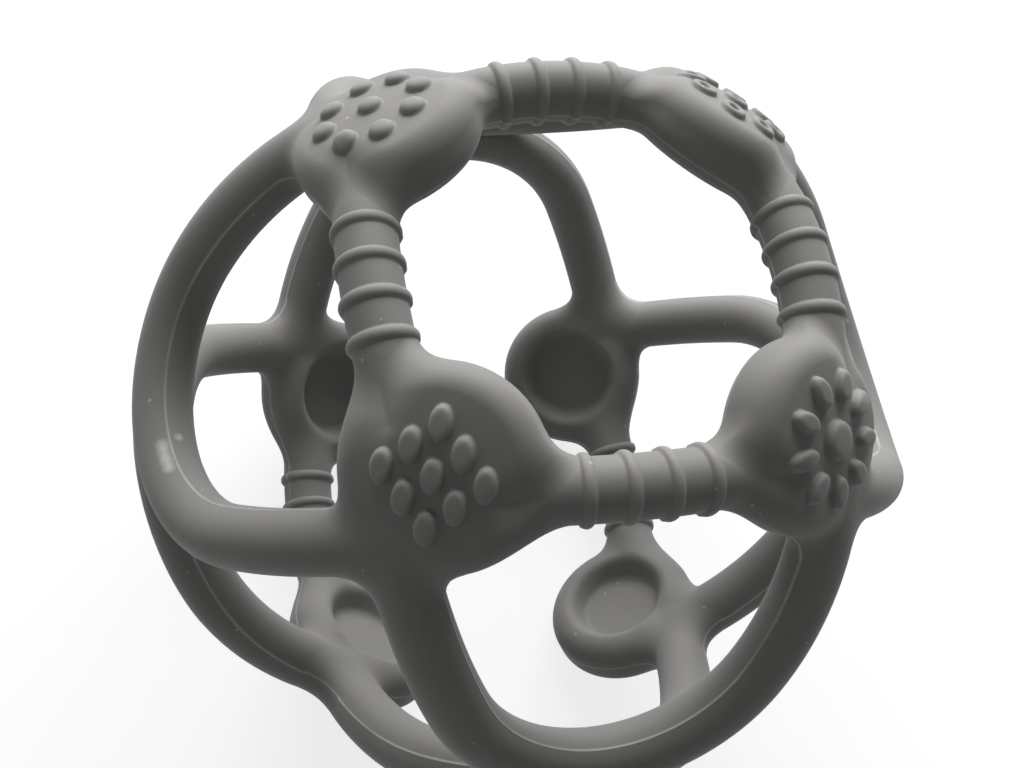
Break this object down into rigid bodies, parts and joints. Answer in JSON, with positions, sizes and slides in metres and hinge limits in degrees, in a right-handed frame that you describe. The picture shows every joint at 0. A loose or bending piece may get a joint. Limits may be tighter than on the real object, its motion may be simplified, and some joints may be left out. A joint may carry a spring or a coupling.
{
  "type": "sensory ball",
  "caption": "Hollow open cage ball of soft silicone: round pads with raised touch patterns joined by ribbed bars and smooth U loops, for babies to grip, squeeze and chew",
  "frame": {"origin": "middle of the ball", "axes": "+Z through the ring of four ribbed bars, +X to the right, the front towards -Y"},
  "size_m": [0.1, 0.1, 0.0836],
  "materials": {
    "silicone": "matte moulded silicone in neutral mid grey"
  },
  "bodies": {
    "root": {"top_pad_front_left": "silicone", "top_pad_front_right": "silicone", "top_pad_back_right": "silicone", "top_pad_back_left": "silicone", "bottom_pad_front_left": "silicone", "bottom_pad_front_right": "silicone", "bottom_pad_back_right": "silicone", "bottom_pad_back_left": "silicone", "top_bar_front": "silicone", "top_bar_right": "silicone", "top_bar_back": "silicone", "top_bar_left": "silicone", "bottom_bar_right": "silicone", "bottom_bar_left": "silicone", "top_loop_front": "silicone", "top_loop_right": "silicone", "top_loop_back": "silicone", "top_loop_left": "silicone", "bottom_loop_front": "silicone", "bottom_loop_right": "silicone", "bottom_loop_back": "silicone", "bottom_loop_left": "silicone"}
  },
  "joints": []
}
